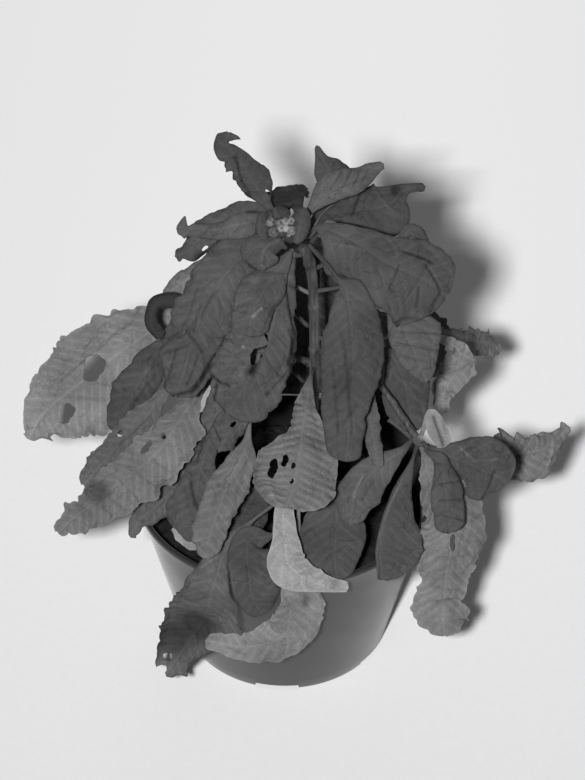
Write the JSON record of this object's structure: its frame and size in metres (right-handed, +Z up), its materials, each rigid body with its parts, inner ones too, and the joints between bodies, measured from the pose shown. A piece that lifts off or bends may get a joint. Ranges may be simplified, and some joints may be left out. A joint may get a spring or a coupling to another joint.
{
  "type": "dead houseplant",
  "caption": "Dead, wilted potted plant: a star of dry bracts over drooping crumpled leaves on a thin stem, in a tapered grower's pot with a notched foot.",
  "frame": {"origin": "centre of the pot's base on the floor", "axes": "+Z up along the pot's axis, -Y the front of the plant as pictured, +X to the right seen from the front"},
  "size_m": [0.272, 0.1829, 0.2622],
  "materials": {
    "pot_plastic": "semi-matt thin polypropylene, slightly dusty",
    "soil": null,
    "stem_bark": "dry grooved bark, matt",
    "bract_dry": "dry thin bract skin with raised veins, matt with a faint sheen",
    "leaf_dry": "dry dark leaf skin with veins and folds, matt with a faint sheen",
    "leaf_pale": "pale underside of a dry leaf, ribbed and crumpled, matt",
    "flower_bud": "small glossy dry buds and bractlets"
  },
  "bodies": {
    "root": {"pot": "pot_plastic", "soil": "soil", "stem_main": "stem_bark", "branch_right": "stem_bark", "branch_left": "stem_bark", "branch_low": "stem_bark", "branch_back": "stem_bark", "flower_cluster": "flower_bud", "bract_back_left": "bract_dry", "bract_left": "bract_dry", "bract_left_under": "bract_dry", "bract_front_left": "bract_dry", "bract_small_oval": "bract_dry", "bract_ribbed": "bract_dry", "bract_cupped": "bract_dry", "bract_front_right": "bract_dry", "bract_strip": "leaf_pale", "bract_right_up": "bract_dry", "bract_back_dark": "bract_dry", "bract_right_back": "bract_dry", "bract_right_curl": "bract_dry", "bract_right": "bract_dry", "bract_right_low": "bract_dry", "leaf_dark_oval": "leaf_dry", "leaf_petal_pair": "leaf_pale", "leaf_light_right": "leaf_pale", "leaf_far_right_back": "leaf_dry", "leaf_right_smooth": "leaf_dry", "leaf_right_spiky": "leaf_dry", "leaf_long_pale": "leaf_pale", "leaf_inner_ribbed": "leaf_dry", "leaf_folded_dark": "leaf_dry", "leaf_mid": "leaf_dry", "leaf_dark_hidden": "leaf_dry", "leaf_shell": "leaf_pale", "leaf_pale_curve": "leaf_pale", "leaf_low_smooth": "leaf_dry", "leaf_shadowed": "leaf_dry", "leaf_striped": "leaf_dry", "leaf_left_inner": "leaf_dry", "leaf_left_dark": "leaf_dry", "leaf_left_gap": "leaf_dry", "leaf_rim_bit": "leaf_pale", "leaf_low_pale": "leaf_pale", "leaf_low_left": "leaf_dry", "leaf_big_left": "leaf_pale", "leaf_left_shaded": "leaf_dry", "leaf_left_curl": "leaf_dry", "leaf_upper_left": "leaf_dry", "leaf_rugged_left": "leaf_pale", "leaf_rugged_under": "leaf_pale", "leaf_crumpled": "leaf_dry", "leaf_rear_left": "leaf_dry", "leaf_rear_mid": "leaf_dry", "leaf_rear_right": "leaf_dry", "leaf_rear_inner": "leaf_dry", "bract_rear": "bract_dry", "leaf_rear_low_left": "leaf_dry", "leaf_rear_low_right": "leaf_dry"}
  },
  "joints": []
}
